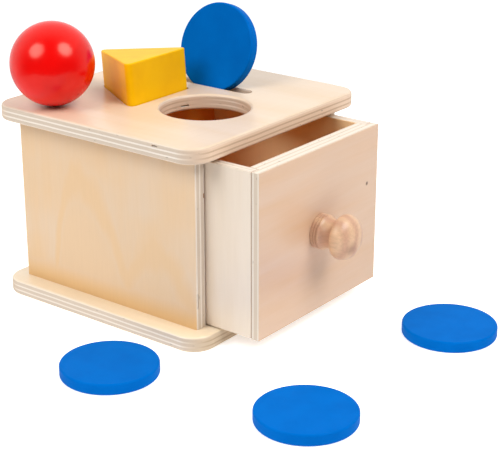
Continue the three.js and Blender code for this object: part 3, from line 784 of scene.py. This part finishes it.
drawer_back = start_block("drawer_back_board", *drawer_back_box)
round_edges(drawer_back, any_edge, board_ease, 2)
drawer_back_ply = plywood(
    "birch plywood drawer back", drawer_back_box, Y, X, 5, hidden_face, hidden_figure, board_edges,
    lining=(0, deep_painted_shade))
dress(drawer_back, drawer_back_ply, "drawer", "drawer_back")

drawer_bottom = start_block("drawer_bottom_board", *bottom_box)
round_edges(drawer_bottom, any_edge, board_ease, 2)
for side in ("left", "right"):
    countersink(drawer_bottom, "drawer_bottom_screw_" + side, bottom_shank)
drawer_bottom_ply = plywood(
    "birch plywood drawer bottom", bottom_box, Z, X, 3, hidden_face, hidden_figure, board_edges,
    lining=(1, deep_painted_shade))
dress(drawer_bottom, drawer_bottom_ply, "drawer", "drawer_bottom")

# Knob: turned in one piece from beech, with a collar ringed by two fine grooves, a hollow neck and a
# domed head, then lacquered to a shine.
knob_low, knob_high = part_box("drawer_knob")
knob_middle = (knob_low + knob_high) / 2
knob_length = knob_high.y - knob_low.y
head_radius = (knob_high.x - knob_low.x) / 2
head_thickness = 10.5 * MM
collar_radius = 9.4 * MM
collar_length = 4.6 * MM
collar_ease = 0.3 * MM
ring_depth = 0.5 * MM
neck_radius = 7.3 * MM
neck_flare = 1 * MM
head_ease = 1.5 * MM
rim_rise = 2.6 * MM
dome_fullness = 0.55
dome_tip = 0.02
curve_steps = 14


def curve(*points):
    """Stations along a cubic curve with these four points, after its start."""
    stations = []
    for i in range(1, curve_steps + 1):
        t = i / curve_steps
        weights = ((1 - t) ** 3, 3 * t * (1 - t) ** 2, 3 * t * t * (1 - t), t ** 3)
        stations.append(tuple(sum(w * p[k] for w, p in zip(weights, points)) for k in (0, 1)))
    return stations


# The collar is six rings long, and the third and the fifth are grooves with sloped walls.
ring = collar_length / 6
head_back = knob_length - head_thickness
rim_height = head_back + rim_rise
groove_radius = collar_radius - ring_depth
knob_stations = [(collar_radius - collar_ease, 0), (collar_radius, collar_ease)]
for start in (2 * ring, 4 * ring):
    knob_stations += [
        (collar_radius, start), (groove_radius, start + 0.4 * ring),
        (groove_radius, start + 0.6 * ring), (collar_radius, start + ring),
    ]
knob_stations += [(collar_radius, collar_length)]
neck_end = (head_radius - head_ease, head_back)
knob_stations += curve(
    (collar_radius, collar_length), (neck_radius, collar_length + neck_flare),
    (neck_radius - neck_flare, head_back), neck_end)
rim_end = (head_radius, rim_height)
knob_stations += curve(
    neck_end, (head_radius - head_ease / 3, head_back), (head_radius, rim_height - head_ease), rim_end)
knob_stations += curve(
    rim_end, (head_radius, rim_height + dome_fullness * (knob_length - rim_height)),
    (dome_fullness * head_radius, knob_length), (dome_tip * head_radius, knob_length))
knob = turned_piece("turned_knob", knob_stations, 96)
put(knob, (knob_middle.x, knob_high.y, knob_middle.z), (math.radians(90), 0, 0))
# The middle of the dark patch on the dome, in mm.
dark_patch_middle = (-4.8, -118.3, 49.5)
knob_beech = beech(
    "turned beech", Y, X, ring_mm=7, light="DEB692", deep="CD9F82", gloss=0.33, dark_patch=dark_patch_middle)
dress(knob, knob_beech, "drawer", "drawer_knob", flat_faces=False)

# Knob screw: a zinc-plated pan head screw with a cross recess, driven from inside the drawer through
# the front board into the knob.
screw_low, screw_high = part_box("knob_screw")
pan_radius = (screw_high.x - screw_low.x) / 2
pan_height = 2.6 * MM
pan_shank = 2 * MM
pan_cross = 0.22
screw_length = screw_high.y - screw_low.y
# The head is flat out to half its radius and curves over from there.
pan_stations = [(0.5 * pan_radius, 0)]
pan_stations += curve(
    pan_stations[0], (0.8 * pan_radius, 0), (pan_radius, 0.5 * pan_height), (pan_radius, pan_height))
pan_stations += [
    (pan_shank, pan_height), (pan_shank, screw_length - screw_point),
    (point_share * pan_shank, screw_length),
]
pan_screw = turned_piece("screw_knob", pan_stations, 40)
recess(pan_screw, pan_radius, pan_cross)
put(pan_screw, (knob_middle.x, screw_high.y, knob_middle.z), (math.radians(90), 0, 0))
dress(pan_screw, zinc, "drawer", "knob_screw")

# Ball: a turned wooden ball dipped in glossy red paint. The dip leaves a surface that is very slightly
# uneven, so the edges of the softboxes waver in it.
ball_cuts = 39
painted_warm_light = "FFF0DC"


def paint(name, colour, deep, gloss, shine, peel_mm, peel):
    """Paint on sanded wood: a faint mottle, and an uneven skin whose peel has that size and strength.
    gloss is the surface's roughness and shine how much it mirrors."""
    material, tree, shader = new_material(name)
    point = add_node(tree, "TexCoord", [], out="Object")
    # Mottle about 14 mm across, from the wood under the paint.
    mottle = add_node(tree, "TexNoise", {"Vector": point, "Scale": 1 / (14 * MM), "Detail": 3})
    share = add_node(tree, "MapRange", [mottle, 0.35, 0.7, 0, 1])
    shade = add_node(tree, "Mix", {0: share, 6: linear(colour), 7: linear(deep)}, out=2, data_type="RGBA")
    tree.links.new(shade, shader.inputs["Base Color"])
    skin = add_node(tree, "TexNoise", {"Vector": point, "Scale": 1 / (peel_mm * MM), "Detail": 2})
    uneven = add_node(tree, "Bump", {"Height": skin, "Strength": peel, "Distance": 0.1 * MM})
    tree.links.new(uneven, shader.inputs["Normal"])
    shader.inputs["Roughness"].default_value = gloss
    shader.inputs["Specular IOR Level"].default_value = shine
    return material


ball_low, ball_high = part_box("play_ball")
ball_radius = (ball_high.z - ball_low.z) / 2
bpy.ops.object.select_all(action="DESELECT")
bpy.ops.mesh.primitive_cube_add(size=ball_radius)
ball = name_new("ball")
bpy.ops.object.mode_set(mode="EDIT")
bpy.ops.mesh.select_all(action="SELECT")
bpy.ops.mesh.subdivide(number_cuts=ball_cuts)
bpy.ops.object.mode_set(mode="OBJECT")
sphere = ball.modifiers.new("round", "CAST")
sphere.cast_type = "SPHERE"
sphere.factor = 1
sphere.use_radius_as_size = False
sphere.size = ball_radius
bpy.ops.object.modifier_apply(modifier=sphere.name)
put(ball, (ball_low + ball_high) / 2)
red_paint = paint(
    "glossy red paint", "EC0504", "E20303", gloss=0.2, shine=0.42, peel_mm=3, peel=0.12)
# The paint's reflections are tinted warm: painted warm light standing in for warm softboxes.
red_shader = red_paint.node_tree.nodes["Principled BSDF"]
red_shader.inputs["Specular Tint"].default_value = linear(painted_warm_light)
dress(ball, red_paint, "ball", "play_ball", flat_faces=False)

# Prism: a three-sided wooden block with rounded uprights, sprayed satin yellow. It has tipped back in
# its hole by the play that the hole leaves.
prism_height = 30.8 * MM
prism_edge = 0.8 * MM
prism_clear = 0.3 * MM
prism_tilt = math.atan2(2 * (prism_play - prism_clear), top_high - top_low)
prism = triangle_block("prism", prism_flat, prism_corner, 0, prism_height)
round_edges(prism, level, prism_edge, 4)
# The rounded apex reaches this far back from the prism's middle, and tips down to just above the drawer.
apex_reach = 2 * (prism_flat - prism_corner) + prism_corner
prism_z = drawer_top + prism_clear + apex_reach * math.sin(prism_tilt)
prism_shift = ((top_low + top_high) / 2 - prism_z) * math.tan(prism_tilt)
put(prism, (ball_hole.x, prism_y - prism_shift, prism_z), (-prism_tilt, 0, 0))
yellow_paint = paint(
    "satin yellow paint", "FFC200", "F8B800", gloss=0.36, shine=0.12, peel_mm=2.5, peel=0.06)
dress(prism, yellow_paint, "prism", "play_prism")

# Coins: turned wooden discs with softened rims, sprayed satin blue. Three lie on the floor and one stands
# in the slot, leaning on the slot's right wall.
coin_radius = 25 * MM
coin_half = 3 * MM
coin_edge = 1 * MM
coin_lean = math.radians(17.5)
blue_paint = paint(
    "satin blue paint", "0068C0", "0062B8", gloss=0.34, shine=0.01, peel_mm=2.5, peel=0.06)
coin_rim = coin_radius - coin_edge
coin_stations = arc(coin_rim, coin_edge - coin_half, coin_edge, -90, 0, 5)
coin_stations += arc(coin_rim, coin_half - coin_edge, coin_edge, 0, 90, 5)
left_coin = turned_piece("coin_left", coin_stations, 128)
front_coin = copy_of(left_coin, "coin_front")
right_coin = copy_of(left_coin, "coin_right")
standing_coin = copy_of(left_coin, "coin_standing")
for side, disc in (("left", left_coin), ("front", front_coin), ("right", right_coin)):
    node = "coin_on_floor_" + side
    coin_low, coin_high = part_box(node)
    put(disc, (coin_low + coin_high) / 2)
    dress(disc, blue_paint, side + "_coin", node)
coin_low, coin_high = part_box("coin_in_slot")
put(standing_coin, (coin_low + coin_high) / 2, (0, math.pi / 2 + coin_lean, 0))
dress(standing_coin, blue_paint, "slot_coin", "coin_in_slot")
